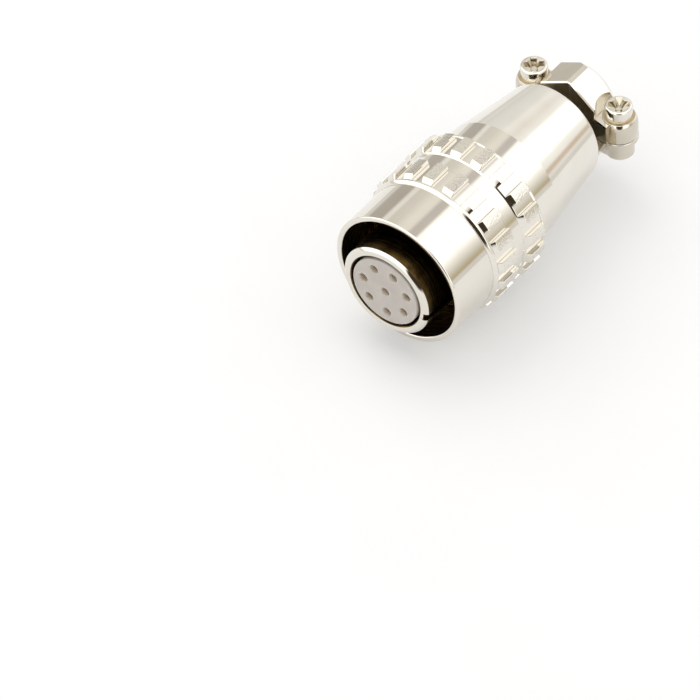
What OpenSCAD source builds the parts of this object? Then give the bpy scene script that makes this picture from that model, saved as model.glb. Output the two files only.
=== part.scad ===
// Cable half of a circular push-pull connector, with socket contacts, lying on its knurled ring.
// The axis is X, from the rim of the sleeve at x = 0 back to the cable clamp, and Z is up.
// Pulling the ring and its sleeve back against the spring lets the locking balls of the mating half go.

/* [Mating end] */
// Diameter of the mating barrel, which slides in between tube and sleeve
barrel_d = 16; // [15.8:0.1:16.4]
// Wall of the mating barrel
barrel_wall = 1.35; // [1.2:0.05:1.6]
// How deep the mating barrel goes in
barrel_depth = 10.8; // [10:0.1:11.2]
// Radial room round the mating barrel
barrel_gap = 0.1; // [0.05:0.05:0.2]
// Diameter of the locking balls
ball_d = 2; // [1.6:0.1:2.2]
// Depth of the locking groove
ball_groove_depth = 0.5; // [0.2:0.05:0.6]
// How far behind the rim the balls lock
ball_x = 8.1; // [8:0.1:8.4]
// How far the tube stands out in front of the rim
tube_proud = 2.5; // [1.5:0.1:3]
// Wall of the tube
tube_wall = 1.05; // [0.9:0.05:1.2]
// Width of the keyway
keyway_w = 1.1; // [0.6:0.1:1.6]
// Depth of the keyway
keyway_depth = 0.6; // [0.3:0.05:0.7]
// Turn of the keyway from straight up
keyway_angle = 97.7; // [0:0.1:360]

/* [Sleeve] */
// How far the mouth opens outwards to let the balls out
mouth_rise = 0.65; // [0.5:0.05:0.8]
// Wall of the sleeve at its mouth
sleeve_wall = 0.8; // [0.6:0.05:1]
// Length of smooth sleeve in front of the ring
sleeve_front = 7.2; // [6:0.1:7.6]
// Step down from the sleeve to the seat of the ring
seat_step = 0.15; // [0.1:0.05:0.3]
// Thickness of the web that the spring pushes on
web_t = 0.6; // [0.4:0.1:0.8]
// Wall of the skirt behind the web
skirt_wall = 0.9; // [0.5:0.05:1.1]
// How far the sleeve can be pulled back
sleeve_travel = 2.5; // [1.8:0.1:2.6]

/* [Knurled ring] */
// Wall of the ring under its grooves
ring_wall = 0.53; // [0.4:0.01:0.8]
// Height of the lands above the grooves
land_h = 0.45; // [0.2:0.05:0.6]
// Number of lands round each band
land_count = 20; // [12:2:28]
// Share of the pitch that a land takes up
land_share = 0.5; // [0.3:0.05:0.7]
// Width of each of the two bands of lands
band_w = 3.55; // [3.2:0.05:4]
// Width of the smooth channel between the bands
channel_w = 2.1; // [1.8:0.05:3]
// Depth of the channel below the grooves
channel_depth = 0.15; // [0.05:0.05:0.3]
// Width of the rim in front of the bands
front_rim_w = 0.75; // [0.4:0.05:1.2]
// Width of the rim behind the bands
rear_rim_w = 0.45; // [0.3:0.05:0.8]
// Length of the spigot that the rear ring screws on
ring_spigot_len = 1.6; // [1:0.1:2]

/* [Back shell] */
// Step down from the flange to the straight part of the back shell
shell_step = 0.64; // [0.5:0.02:0.9]
// Wall of the back shell
shell_wall = 0.9; // [0.7:0.05:1.2]
// Wall of the back shell where it screws on
screw_on_wall = 0.7; // [0.5:0.05:0.9]
// Length of the threaded spigot that it screws on
spigot_len = 4.2; // [3.6:0.1:4.6]
// Length of its straight part, from the flange back
shell_straight = 5.25; // [4.8:0.05:7]
// Length of its tapered part
taper_len = 10.9; // [9.5:0.1:12]
// How far the taper comes in on each side
taper_drop = 1.55; // [1.2:0.05:1.7]
// Length of the lip behind the taper
lip_len = 0.4; // [0.3:0.05:0.8]
// Step down from the taper to the lip
lip_step = 0.1; // [0.05:0.05:0.2]

/* [Cable clamp] */
// Turn of the clamp about the axis, with its -Y end raised
clamp_angle = 3.5; // [0:0.5:12]
// Gap between the lip and the clamp
clamp_gap = 3.2; // [2.6:0.1:4]
// Length of the roof's ridge along the axis
roof_len = 3.55; // [3.2:0.05:4.2]
// How far the middle of each roof face runs on behind the ridge
crown_len = 0.8; // [0.5:0.05:1.1]
// Height of the roof's ridge above the axis
ridge_h = 5.7; // [5.2:0.1:6.4]
// Slope of the two roof faces
roof_slope = 26; // [20:1:32]
// Height of the joint between the two clamp halves, from the axis
split_h = -0.8; // [-1.2:0.1:-0.6]
// How far the axes of the screws stand in from the lip
screw_inset = 0.4; // [0.1:0.05:0.6]
// Radius of the ears that the screws go through
ear_r = 2.45; // [2.2:0.05:2.8]
// Height of the screw seats above the axis
seat_h = 2.2; // [1.8:0.1:2.6]
// Height of the bosses below the joint, with the lower ears on top of them
lower_ear_t = 3.2; // [2.4:0.1:4]
// Thickness of the lower ears
ear_flange_t = 0.7; // [0.5:0.1:1.2]
// Diameter of the cable trough
cable_d = 8.6; // [8.4:0.1:9]
// Wall under the cable trough
trough_wall = 1.9; // [1.5:0.1:2.2]
// Height of the saddle's arch above the axis
arch_h = 1.2; // [1.1:0.1:1.8]
// Diameter of the screw heads
screw_head_d = 3.5; // [3.2:0.1:4]
// Height of the screw heads
screw_head_h = 1.75; // [1.5:0.05:2]
// Thread diameter of the screws
screw_d = 2; // [1.6:0.1:2.2]

/* [Contacts] */
// Number of contacts round the middle one
ring_contacts = 7; // [4:1:7]
// From the tube's bore in to the circle that they stand on
contact_inset = 2.075; // [1.8:0.025:2.2]
// Diameter of a contact's socket
socket_d = 1; // [0.8:0.05:1.1]
// Outside diameter of a contact
contact_d = 1.6; // [1.4:0.05:1.7]
// Depth of a contact's socket
socket_depth = 6; // [4:0.5:8]
// Length of the solder cups behind the insulator
cup_len = 3.5; // [2.5:0.1:4]
// Width of the open ring between the insulator's face and the tube
face_gap = 0.5; // [0.3:0.05:0.6]

/* [Spring] */
// Wire diameter of the spring
wire_d = 0.55; // [0.4:0.05:0.6]
// Number of turns
spring_turns = 3; // [2:0.5:3]

/* [Hidden] */
$fn = 96;
small_fn = 32;
overlap = 0.1;          // how far joined shapes run into each other
through = 1;            // how far a cut runs past a face
fit_gap = 0.02;         // radial gap of a pressed or screwed fit
slide_gap = 0.08;       // radial gap of a sliding fit
stop_gap = 0.05;        // axial gap at the forward stop
shell_gap = 0.25;       // radial gap between the stop ring and the back shell
edge = 0.25;            // chamfer on turned edges
fine_edge = 0.15;       // chamfer on small turned edges
round_edge = 0.5;       // eased edge at the back of the clamp

// Radii from the tube out to the lands
tube_r = barrel_d / 2 - barrel_wall - barrel_gap;
tube_bore_r = tube_r - tube_wall;
land_bore_r = barrel_d / 2 + barrel_gap;
mouth_r = land_bore_r + mouth_rise;
sleeve_r = mouth_r + sleeve_wall;
seat_r = sleeve_r - seat_step;
ring_bore_r = seat_r + fit_gap;
groove_r = ring_bore_r + ring_wall;
ring_spigot_r = ring_bore_r + ring_wall / 2;
land_r = groove_r + land_h;
flange_r = ring_bore_r - slide_gap;
shell_r = flange_r - shell_step;
spigot_r = shell_r - screw_on_wall - fit_gap;
stop_bite = 0.12;       // how far the stop ring sits in its groove
stop_bore_r = shell_r + shell_gap;

// Places along the axis, from the tube's end back to the clamp
tube_x = -tube_proud;
ball_room = 0.4;        // land in front of the locked balls
ball_r = ball_d / 2;
ramp_x = ball_x - ball_r - ball_room;
ramp_len = mouth_rise;
web_x = barrel_depth + barrel_gap;
spring_x = web_x + web_t;
ring_x = sleeve_front;
front_band_x = ring_x + front_rim_w;
channel_x = front_band_x + band_w;
ring_joint_x = channel_x + channel_w;
ring_joint_gap = 0.05;  // fine gap that shows between the two rings
rear_band_x = ring_joint_x + ring_joint_gap;
ring_spigot_end = ring_joint_x + ring_spigot_len;
ring_end = rear_band_x + band_w + rear_rim_w;
stop_w = 0.5;           // width of the stop ring
stop_end_wall = 0.35;   // ring left behind the stop ring
stop_x = ring_end - stop_end_wall - stop_w;
flange_t = 1;
flange_end = stop_x - stop_gap;
flange_x = flange_end - flange_t;
travel_room = 0.2;      // gap left behind the skirt when the sleeve is right back
skirt_end = flange_x - sleeve_travel - travel_room;
spigot_end = flange_end + spigot_len;
taper_x = flange_end + shell_straight;
lip_x = taper_x + taper_len;
shell_end = lip_x + lip_len;
roof_x = shell_end + clamp_gap;
roof_end = roof_x + roof_len;
clamp_end = roof_end + crown_len;
screw_setback = 1.6;    // from the front of the roof to the screws
screw_x = roof_x + screw_setback;

// Insulators and contacts
face_proud = 0.1;               // how far the face stands out of the tube
face_x = tube_x - face_proud;
face_r = tube_bore_r - face_gap;
face_len = 1.2;                 // depth of the open ring round the face
front_step = 0.45;              // step of the bore that the front insulator seats on
rear_step = 0.9;                // step that the rear insulator seats on
step_x = ball_x + ball_r;
insulator_flange_t = 1.5;
insulator_split = step_x + insulator_flange_t;
step_r = tube_bore_r + front_step;
rear_bore_r = step_r + rear_step;
rear_step_x = flange_x + flange_t / 3;
insulator_end = rear_step_x + insulator_flange_t;
retainer_w = 0.6;               // width of the retaining ring
retainer_bite = 0.3;            // how far it sits in its groove
retainer_reach = 0.6;           // how far it stands in behind the insulator
retainer_bore_r = rear_bore_r - retainer_reach;
ring_gap_angle = 24;             // opening of the split rings
contact_r = contact_d / 2;
contact_setback = 1.3;          // from the insulator's face to the contacts
contact_x = face_x + contact_setback;
collar_t = 0.9;
collar_step = 0.2;
collar_r = contact_r + collar_step;
collar_x = insulator_split - collar_t;
cup_x = insulator_end;
cup_end = cup_x + cup_len;
cup_wall = 0.2;
slit_w = 0.25;                  // slit that lets the socket spring open

// Cable clamp
cable_r = cable_d / 2;
trough_r = cable_r + trough_wall;
joint_gap = 0.1;                // gap between the two clamp halves
lip_r = shell_r - taper_drop - lip_step;
lip_bore_r = lip_r - shell_wall;
neck_r = lip_r - 2 * edge;      // neck that carries the lower half of the clamp
screw_y = lip_r - screw_inset;
screw_spacing = 2 * screw_y;
pocket_room = 0.3;
pocket_r = ear_r + pocket_room; // pocket that gives the screw heads room
roof_inset = 2.25;              // from the screws to the sides of the roof
roof_side = screw_y - roof_inset;
arch_rise = arch_h - split_h;
arch_r = (cable_r * cable_r + arch_rise * arch_rise) / (2 * arch_rise);
face_r_end = ridge_h * cos(roof_slope) - fine_edge; // radius that the roof is turned down to at its back
ear_ease = 0.4;                 // the upper ears come in by this towards the seats
ear_ease_h = 0.9;
boss_step = 0.55;               // from the lower ears in to the bosses
boss_r = ear_r - boss_step;
hole_floor = 1;                 // left below the screw holes
screw_room = 0.1;               // left below the screws
recess_w = 0.7;
recess_l = 2.5;
recess_depth = 0.9;

contact_spots = concat(
    [[0, 0]],
    [for (i = [0 : ring_contacts - 1])
        [tube_bore_r - contact_inset, keyway_angle + (i + 0.5) * 360 / ring_contacts]]
);
contact_nodes = [for (i = [1 : len(contact_spots)]) str("contact_", i)];

// Solid of revolution about the axis, from points [x, radius]
module turned(points) {
    rotate([0, 90, 0]) rotate_extrude() polygon([for (p = points) [p[1], p[0]]]);
}

// Tube along the axis
module tube(x0, x1, r_in, r_out) {
    turned([[x0, r_in], [x0, r_out], [x1, r_out], [x1, r_in]]);
}

// Rod along the axis
module rod(x0, x1, r) {
    translate([x0, 0, 0]) rotate([0, 90, 0]) cylinder(h = x1 - x0, r = r);
}

// Part of a tube, centred on straight up and as wide as an angle
module arc_block(x0, x1, r_in, r_out, width) {
    rotate([0, 90, 0]) rotate([0, 0, 180 - width / 2]) rotate_extrude(angle = width)
        translate([r_in, x0]) square([r_out - r_in, x1 - x0]);
}

// Flat outline in Y and Z, drawn out along the axis
module drawn(x0, x1) {
    translate([x0, 0, 0]) rotate([90, 0, 90]) linear_extrude(x1 - x0) children();
}

// Turn about the axis, from straight up towards -Y
module turn(angle) {
    rotate([angle, 0, 0]) children();
}

// Places its children at each contact
module each_contact() {
    for (spot = contact_spots) turn(spot[1]) translate([0, 0, spot[0]]) children();
}

module inner_shell() {
    groove_floor_r = tube_r - ball_groove_depth;
    color("gainsboro") difference() {
        turned([
            [tube_x + edge, tube_bore_r], [tube_x, tube_bore_r + edge], [tube_x, tube_r - edge],
            [tube_x + edge, tube_r],
            [ball_x - ball_r, tube_r], [ball_x - ball_r + ball_groove_depth, groove_floor_r],
            [ball_x + ball_r - ball_groove_depth, groove_floor_r], [ball_x + ball_r, tube_r],
            [flange_x, tube_r], [flange_x, flange_r], [flange_end, flange_r], [flange_end, spigot_r],
            [spigot_end - edge, spigot_r], [spigot_end, spigot_r - edge], [spigot_end, rear_bore_r],
            [rear_step_x, rear_bore_r], [rear_step_x, step_r], [step_x, step_r], [step_x, tube_bore_r]
        ]);
        tube(insulator_end, insulator_end + retainer_w, rear_bore_r - overlap, rear_bore_r + retainer_bite);
        turn(keyway_angle) translate([tube_x - through, -keyway_w / 2, tube_r - keyway_depth])
            cube([ball_x - tube_x + through, keyway_w, keyway_depth + through]);
    }
}

module insulator_front() {
    body_r = tube_bore_r - fit_gap;
    entry_r = socket_d / 2 + fit_gap;
    cone_h = 0.3;
    color("whitesmoke") difference() {
        turned([
            [face_x, 0], [face_x, face_r - fine_edge], [face_x + fine_edge, face_r],
            [face_x + face_len, face_r], [face_x + face_len, body_r],
            [step_x, body_r], [step_x, step_r - fit_gap],
            [insulator_split, step_r - fit_gap], [insulator_split, 0]
        ]);
        each_contact() {
            rod(face_x - through, contact_x + overlap, entry_r);
            translate([face_x, 0, 0]) rotate([0, 90, 0])
                cylinder(h = cone_h, r1 = entry_r + cone_h, r2 = entry_r);
            rod(contact_x, insulator_split + through, contact_r + fit_gap);
            rod(collar_x, insulator_split + through, collar_r + fit_gap);
        }
    }
}

module insulator_rear() {
    color("whitesmoke") difference() {
        turned([
            [insulator_split, 0], [insulator_split, step_r - fit_gap], [rear_step_x, step_r - fit_gap],
            [rear_step_x, rear_bore_r - fit_gap], [insulator_end, rear_bore_r - fit_gap], [insulator_end, 0]
        ]);
        each_contact() rod(insulator_split - through, insulator_end + through, contact_r + fit_gap);
    }
}

// Flat ring with a gap, sprung into a groove
module split_ring(x0, x1, r_in, r_out) {
    turn(180) arc_block(x0, x1, r_in, r_out, 360 - ring_gap_angle);
}

module insulator_retainer() {
    outer_r = rear_bore_r + retainer_bite - fit_gap;
    color("darkgray") split_ring(insulator_end, insulator_end + retainer_w, retainer_bore_r, outer_r);
}

module contact(spot) {
    slit_len = socket_depth - 2 * contact_r;
    color("gold") turn(spot[1]) translate([0, 0, spot[0]]) difference() {
        turned([
            [contact_x, 0], [contact_x, contact_r - fine_edge], [contact_x + fine_edge, contact_r],
            [collar_x, contact_r], [collar_x, collar_r], [insulator_split, collar_r],
            [insulator_split, contact_r], [cup_end, contact_r], [cup_end, 0]
        ]);
        rod(contact_x - through, contact_x + socket_depth, socket_d / 2);
        rod(cup_x + 2 * cup_wall, cup_end + through, contact_r - cup_wall);
        translate([contact_x - through, -slit_w / 2, -contact_r - through])
            cube([slit_len + through, slit_w, 2 * (contact_r + through)]);
        translate([cup_end - cup_len / 2, -contact_r - through, 0])
            cube([cup_len, 2 * (contact_r + through), contact_r + through]);
    }
}

module coupling_sleeve() {
    color("silver") turned([
        [0, mouth_r + edge], [0, sleeve_r - edge], [edge, sleeve_r], [ring_x, sleeve_r], [ring_x, seat_r],
        [skirt_end, seat_r], [skirt_end, seat_r - skirt_wall], [spring_x, seat_r - skirt_wall],
        [spring_x, tube_r + slide_gap], [web_x, tube_r + slide_gap], [web_x, land_bore_r],
        [ramp_x + ramp_len, land_bore_r], [ramp_x, mouth_r], [edge, mouth_r]
    ]);
}

// Row of lands round a ring
module lands(band_x) {
    pitch = 360 / land_count;
    for (i = [0 : land_count - 1])
        turn((i + 0.5) * pitch)
            arc_block(band_x, band_x + band_w, groove_r - overlap, land_r, pitch * land_share);
}

module knurled_ring() {
    color("lightgray") union() {
        turned([
            [ring_x, ring_bore_r], [ring_x, groove_r - edge], [ring_x + edge, groove_r],
            [channel_x, groove_r], [channel_x, groove_r - channel_depth],
            [ring_joint_x, groove_r - channel_depth], [ring_joint_x, ring_spigot_r],
            [ring_spigot_end, ring_spigot_r], [ring_spigot_end, ring_bore_r]
        ]);
        lands(front_band_x);
    }
}

module rear_ring() {
    thread_r = ring_spigot_r + fit_gap;
    thread_end = ring_spigot_end + ring_joint_gap;
    color("lightgray") difference() {
        union() {
            turned([
                [rear_band_x, thread_r], [rear_band_x, groove_r], [ring_end - edge, groove_r],
                [ring_end, groove_r - edge], [ring_end, ring_bore_r], [thread_end, ring_bore_r],
                [thread_end, thread_r]
            ]);
            lands(rear_band_x);
        }
        tube(stop_x, stop_x + stop_w, ring_bore_r - overlap, ring_bore_r + stop_bite);
    }
}

module stop_ring() {
    color("darkgray") split_ring(stop_x, stop_x + stop_w, stop_bore_r, ring_bore_r + stop_bite - fit_gap);
}

module return_spring() {
    sides = 8;
    steps = 28;                     // rings of points in each turn
    turns = spring_turns;
    count = floor(turns * steps);
    x0 = spring_x + wire_d / 2 + fit_gap;
    x1 = flange_x - wire_d / 2 - fit_gap;
    mid_r = (tube_r + slide_gap + seat_r - skirt_wall) / 2;
    // The first and the last half turn lie flat, and the coils between them rise evenly
    function rise(t) = min(max((t - 0.5) / (turns - 1), 0), 1);
    points = [for (i = [0 : count], j = [0 : sides - 1])
        let (a = i * 360 / steps, b = j * 360 / sides, r = mid_r + wire_d / 2 * cos(b))
        [x0 + (x1 - x0) * rise(i / steps) + wire_d / 2 * sin(b), r * sin(a), r * cos(a)]];
    walls = [for (i = [0 : count - 1], j = [0 : sides - 1])
        let (k = (j + 1) % sides)
        [i * sides + j, i * sides + k, (i + 1) * sides + k, (i + 1) * sides + j]];
    ends = [[for (j = [sides - 1 : -1 : 0]) j], [for (j = [0 : sides - 1]) count * sides + j]];
    color("dimgray") polyhedron(points, concat(walls, ends));
}

// Places its children at each screw
module at_screws() {
    for (side = [-1, 1]) translate([screw_x, side * screw_y, 0]) children();
}

module back_shell() {
    joint_h = split_h - joint_gap / 2;
    ear_bottom = split_h - lower_ear_t;
    thread_r = spigot_r + fit_gap;
    color("silver") difference() {
        union() {
            turned([
                [flange_end, 0], [flange_end, shell_r - edge], [flange_end + edge, shell_r],
                [taper_x, shell_r], [lip_x, lip_r + lip_step], [lip_x, lip_r],
                [shell_end - edge, lip_r], [shell_end, lip_r - edge], [shell_end, 0]
            ]);
            turn(-clamp_angle) intersection() {
                union() {
                    turned([
                        [lip_x, 0], [lip_x, neck_r], [shell_end, neck_r], [roof_x, trough_r],
                        [clamp_end - round_edge, trough_r], [clamp_end, trough_r - round_edge],
                        [clamp_end, 0]
                    ]);
                    translate([roof_x, -screw_y, ear_bottom])
                        cube([roof_len, screw_spacing, lower_ear_t]);
                    at_screws() rotate_extrude() polygon([
                        [0, ear_bottom], [boss_r, ear_bottom], [boss_r, split_h - ear_flange_t],
                        [ear_r, split_h - ear_flange_t], [ear_r, split_h], [0, split_h]
                    ]);
                }
                translate([lip_x, -screw_spacing, -lip_r - through])
                    cube([clamp_end, 2 * screw_spacing, joint_h + lip_r + through]);
            }
        }
        turned([
            [flange_end - through, 0], [flange_end - through, thread_r], [spigot_end, thread_r],
            [taper_x, thread_r - edge], [lip_x, lip_bore_r], [roof_x, cable_r],
            [clamp_end + through, cable_r], [clamp_end + through, 0]
        ]);
        turn(-clamp_angle) at_screws() translate([0, 0, ear_bottom + hole_floor])
            cylinder(h = 2 * lower_ear_t, r = screw_d / 2 + fit_gap);
    }
}

module clamp_saddle() {
    base_h = split_h + joint_gap / 2;
    eave_h = ridge_h - roof_side * tan(roof_slope);
    cone_r = ridge_h + (ridge_h - face_r_end) * roof_len / crown_len;
    color("silver") turn(-clamp_angle) difference() {
        union() {
            // The back of the roof is turned down like the corners of a nut
            intersection() {
                drawn(roof_x, clamp_end) polygon([
                    [-roof_side, base_h], [-roof_side, eave_h], [0, ridge_h],
                    [roof_side, eave_h], [roof_side, base_h]
                ]);
                turned([[roof_x, 0], [roof_x, cone_r], [clamp_end, face_r_end], [clamp_end, 0]]);
            }
            translate([roof_x, -screw_y, base_h]) cube([roof_len, screw_spacing, seat_h - base_h]);
            at_screws() rotate_extrude() polygon([
                [0, base_h], [ear_r, base_h], [ear_r, seat_h - ear_ease_h], [ear_r - ear_ease, seat_h], [0, seat_h]
            ]);
        }
        at_screws() translate([0, 0, seat_h]) cylinder(h = ridge_h, r = pocket_r);
        at_screws() translate([0, 0, base_h - through])
            cylinder(h = ridge_h + through, r = screw_d / 2 + slide_gap, $fn = small_fn);
        drawn(roof_x - through, clamp_end + through) intersection() {
            translate([0, arch_h - arch_r]) circle(r = arch_r);
            translate([-cable_r, base_h - through]) square([2 * cable_r, arch_r]);
        }
    }
}

module clamp_screw(side) {
    crown = 0.3;                    // height of the rounded top
    head_r = screw_head_d / 2;
    head_h = seat_h + screw_head_h;
    tip_h = split_h - lower_ear_t + hole_floor + screw_room;
    color("gainsboro") turn(-clamp_angle) translate([screw_x, side * screw_y, 0]) difference() {
        rotate_extrude() polygon([
            [0, tip_h], [screw_d / 2 - edge, tip_h], [screw_d / 2, tip_h + edge], [screw_d / 2, seat_h],
            [head_r, seat_h], [head_r, head_h - crown], [head_r - crown, head_h - crown / 4],
            [head_r / 2, head_h], [0, head_h]
        ]);
        for (angle = [45, 135])
            rotate([0, 0, angle]) translate([-recess_l / 2, -recess_w / 2, head_h - recess_depth])
                cube([recess_l, recess_w, recess_depth + through]);
    }
}

module clamp_screw_left() {
    clamp_screw(1);
}

module clamp_screw_right() {
    clamp_screw(-1);
}

inner_shell();
insulator_front();
insulator_rear();
insulator_retainer();
coupling_sleeve();
knurled_ring();
rear_ring();
stop_ring();
return_spring();
back_shell();
clamp_saddle();
clamp_screw_left();
clamp_screw_right();
for (i = [0 : len(contact_spots) - 1])
    contact(contact_spots[i]);
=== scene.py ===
import math

import bmesh
import bpy
from mathutils import Matrix, Vector


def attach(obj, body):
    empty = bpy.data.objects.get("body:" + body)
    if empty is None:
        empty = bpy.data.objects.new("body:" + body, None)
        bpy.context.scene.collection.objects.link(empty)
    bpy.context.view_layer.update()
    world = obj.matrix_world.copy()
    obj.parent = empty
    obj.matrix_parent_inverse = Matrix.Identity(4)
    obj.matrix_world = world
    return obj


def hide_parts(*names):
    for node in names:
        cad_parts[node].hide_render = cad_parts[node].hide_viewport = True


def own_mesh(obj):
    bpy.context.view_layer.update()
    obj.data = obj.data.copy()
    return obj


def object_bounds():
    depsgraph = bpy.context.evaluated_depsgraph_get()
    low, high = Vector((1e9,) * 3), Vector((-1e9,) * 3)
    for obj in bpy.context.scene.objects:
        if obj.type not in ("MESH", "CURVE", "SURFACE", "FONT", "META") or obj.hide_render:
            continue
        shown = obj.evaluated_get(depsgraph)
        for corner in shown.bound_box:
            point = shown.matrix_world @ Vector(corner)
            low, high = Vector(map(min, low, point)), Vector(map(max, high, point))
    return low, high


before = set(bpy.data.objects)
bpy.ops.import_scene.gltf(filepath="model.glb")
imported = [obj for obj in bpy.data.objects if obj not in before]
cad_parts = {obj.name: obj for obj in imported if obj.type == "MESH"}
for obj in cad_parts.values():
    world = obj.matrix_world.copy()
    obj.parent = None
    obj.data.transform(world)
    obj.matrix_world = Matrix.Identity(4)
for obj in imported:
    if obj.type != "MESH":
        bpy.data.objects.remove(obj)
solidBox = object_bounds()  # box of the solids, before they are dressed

mm = 0.001
print("frame loaded,", len(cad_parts), "solids")

# the camera stands where the photograph was taken from
view = {"heading": 52.8, "lift": 47.0, "distance": 900.0, "lens": 371.6, "sensor": 36.0, "clipFrom": 10.0,
        "aimRight": -5.892, "aimDown": 8.707}
heading, lift = math.radians(view["heading"]), math.radians(view["lift"])
rightward = Vector((math.cos(heading), -math.sin(heading), 0))
ahead = Vector((math.sin(heading) * math.cos(lift), math.cos(heading) * math.cos(lift), -math.sin(lift)))
downward = ahead.cross(rightward)
aimPoint = (rightward * view["aimRight"] + downward * view["aimDown"]) * mm
cameraData = bpy.data.cameras.new("photoCamera")
cameraData.lens, cameraData.sensor_width = view["lens"], view["sensor"]
cameraData.clip_start = view["clipFrom"] * mm
camera = bpy.data.objects.new("photoCamera", cameraData)
bpy.context.scene.collection.objects.link(camera)
turnOfCamera = Matrix((rightward, -downward, -ahead)).transposed().to_4x4()
camera.matrix_world = Matrix.Translation(aimPoint - ahead * view["distance"] * mm) @ turnOfCamera
bpy.context.scene.camera = camera
bpy.context.scene.view_settings.view_transform = "Standard"
print("camera placed")


# helpers for modelling, with sizes in millimetres
def letGo():
    if bpy.context.object is not None and bpy.context.object.mode == "EDIT":
        bpy.ops.object.mode_set(mode="OBJECT")
    bpy.ops.object.select_all(action="DESELECT")


def take(obj):
    letGo()
    obj.select_set(True)
    bpy.context.view_layer.objects.active = obj
    return obj


def settle(name):  # the new primitive's place goes into its mesh
    obj = bpy.context.object
    obj.name = name
    obj.data.name = name
    bpy.ops.object.transform_apply(location=True, rotation=True, scale=True)
    return obj


def turnOnLathe(name, outline, sides=192, hollow=True):
    letGo()
    x, r = outline[0]
    bpy.ops.mesh.primitive_circle_add(vertices=sides, radius=r * mm, location=(x * mm, 0, 0),
                                      rotation=(0, math.pi / 2, 0))
    obj = settle(name)
    bpy.ops.object.mode_set(mode="EDIT")
    bpy.ops.mesh.select_all(action="SELECT")
    for nextX, nextR in outline[1:] + (outline[:1] if hollow else []):
        bpy.ops.mesh.extrude_edges_move(TRANSFORM_OT_translate={"value": ((nextX - x) * mm, 0, 0)})
        bpy.ops.transform.resize(value=(1, nextR / r, nextR / r), center_override=(0, 0, 0))
        x, r = nextX, nextR
    bpy.ops.mesh.select_all(action="SELECT")
    bpy.ops.mesh.remove_doubles(threshold=1e-7)
    if not hollow:
        bpy.ops.mesh.select_all(action="SELECT")
        bpy.ops.mesh.fill_holes(sides=0)  # the two end faces
        bpy.ops.mesh.select_all(action="SELECT")
    bpy.ops.mesh.normals_make_consistent(inside=False)
    bpy.ops.object.mode_set(mode="OBJECT")
    return obj


def bend(x, r, radius, fromAngle, toAngle, steps=4):  # rounded corner of an outline
    angles = [math.radians(fromAngle + (toAngle - fromAngle) * i / steps) for i in range(steps + 1)]
    return [(x + radius * math.cos(a), r + radius * math.sin(a)) for a in angles]


def addRod(name, x0, x1, r, z, sides=128):
    letGo()
    bpy.ops.mesh.primitive_cylinder_add(vertices=sides, radius=r * mm, depth=(x1 - x0) * mm,
                                        location=((x0 + x1) / 2 * mm, 0, z * mm),
                                        rotation=(0, math.pi / 2, 0))
    return settle(name)


def addPost(name, x, y, z0, z1, r, sides=96):
    letGo()
    bpy.ops.mesh.primitive_cylinder_add(vertices=sides, radius=r * mm, depth=(z1 - z0) * mm,
                                        location=(x * mm, y * mm, (z0 + z1) / 2 * mm))
    return settle(name)


def addBlock(name, low, high):
    letGo()
    middle = [(a + b) / 2 * mm for a, b in zip(low, high)]
    bpy.ops.mesh.primitive_cube_add(size=1, location=middle, scale=[(b - a) * mm for a, b in zip(low, high)])
    return settle(name)


def combine(obj, other, how):
    take(obj)
    bpy.ops.object.modifier_add(type="BOOLEAN")
    joining = obj.modifiers[-1]
    joining.operation, joining.solver, joining.object = how, "EXACT", other
    bpy.ops.object.modifier_apply(modifier=joining.name)
    take(other)
    bpy.ops.object.delete()
    return obj


def shave(obj, point, outward):  # everything on the outward side of a plane goes
    take(obj)
    bpy.ops.object.mode_set(mode="EDIT")
    bpy.ops.mesh.select_all(action="SELECT")
    bpy.ops.mesh.bisect(plane_co=[v * mm for v in point], plane_no=outward, use_fill=True, clear_outer=True)
    bpy.ops.object.mode_set(mode="OBJECT")
    return obj


def turnAbout(obj, axis, angle):  # about a line through the origin
    take(obj)
    obj.rotation_euler["XYZ".index(axis)] = math.radians(angle)
    bpy.ops.object.transform_apply(location=True, rotation=True, scale=True)
    return obj


def moveBy(obj, step):
    take(obj)
    obj.location = [v * mm for v in step]
    bpy.ops.object.transform_apply(location=True, rotation=True, scale=True)
    return obj


def copyOf(obj, name):
    take(obj)
    bpy.ops.object.duplicate(linked=False)
    twin = bpy.context.object
    twin.name = name
    twin.data.name = name
    return twin


def easeEdges(obj, width, above=28, crisp=None):  # every edge bent by more than this angle
    take(obj)
    bpy.ops.object.modifier_add(type="BEVEL")
    easing = obj.modifiers[-1]
    easing.width, easing.segments = width * mm, 2
    easing.limit_method, easing.angle_limit = "ANGLE", math.radians(above)
    bpy.ops.object.modifier_apply(modifier=easing.name)
    smoothOver(obj, crisp=crisp)
    return obj


def smoothOver(obj, crisp=None):  # flat faces stay flat beside their eased edges
    take(obj)
    bpy.ops.object.shade_smooth_by_angle(angle=math.radians(32))
    if crisp is not None:  # faces over this many square millimetres keep their outline sharp
        bpy.ops.object.mode_set(mode="EDIT")
        bpy.ops.mesh.select_mode(type="EDGE")
        bpy.ops.mesh.select_all(action="DESELECT")
        mesh = bmesh.from_edit_mesh(obj.data)
        for edge in mesh.edges:
            edge.select_set(max(face.calc_area() for face in edge.link_faces) > crisp * mm * mm)
        bmesh.update_edit_mesh(obj.data)
        bpy.ops.mesh.mark_sharp()
        bpy.ops.object.mode_set(mode="OBJECT")
    bpy.ops.object.modifier_add(type="WEIGHTED_NORMAL")
    weighing = obj.modifiers[-1]
    weighing.keep_sharp = True
    bpy.ops.object.modifier_apply(modifier=weighing.name)


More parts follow.
